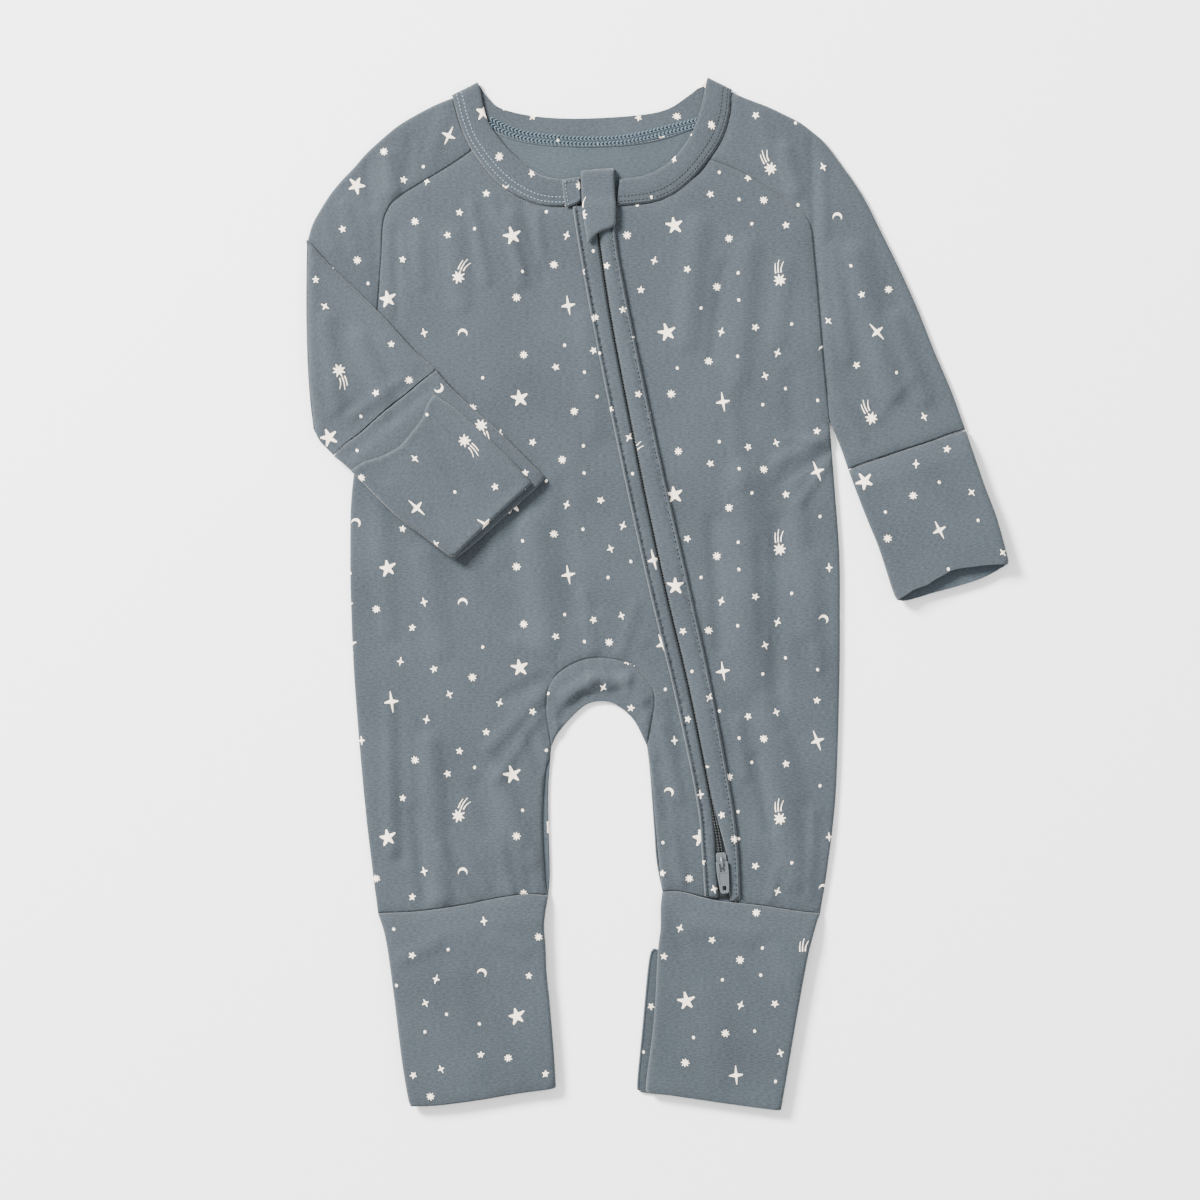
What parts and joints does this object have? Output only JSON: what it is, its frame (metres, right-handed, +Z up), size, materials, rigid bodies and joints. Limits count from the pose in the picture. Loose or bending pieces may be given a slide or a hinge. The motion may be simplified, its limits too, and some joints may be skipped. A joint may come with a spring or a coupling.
{
  "type": "baby sleepsuit",
  "caption": "Long-sleeved zipped baby sleepsuit laid flat, with raglan sleeves, diagonal zip, fold-over hand and foot covers and a hinged pull tab.",
  "frame": {"origin": "middle of the suit's plan outline, on the surface that it lies on", "axes": "+Y from the ankles to the neck, +Z up from the surface, +X to the suit's sleeve that lies spread out"},
  "size_m": [0.3856, 0.5675, 0.0092],
  "materials": {
    "jersey": "printed brushed cotton jersey",
    "zip_tape": "woven tape with a coil chain",
    "zip_metal": "coated zinc"
  },
  "bodies": {
    "garment": {"back": "jersey", "front_left": "jersey", "front_right": "jersey", "gusset": "jersey", "sleeve_left": "jersey", "sleeve_right": "jersey", "neckband": "jersey", "placket_left": "jersey", "placket_right": "jersey", "zip_tape": "zip_tape", "zip_garage": "jersey", "cuff_left": "jersey", "cuff_right": "jersey", "hand_cover_left": "jersey", "hand_cover_right": "jersey", "ankle_cuff_left": "jersey", "ankle_cuff_right": "jersey", "foot_cover_left": "jersey", "foot_cover_right": "jersey", "slider": "zip_metal"},
    "pull": {"pull_tab": "zip_metal"}
  },
  "joints": [
    {"name": "pull_tab_hinge", "type": "hinge", "parent": "garment", "child": "pull", "pos_m": [0.0352, -0.1475, 0.00535], "axis": [-0.9945, -0.1045, 0], "range_deg": [0, 160]}
  ]
}
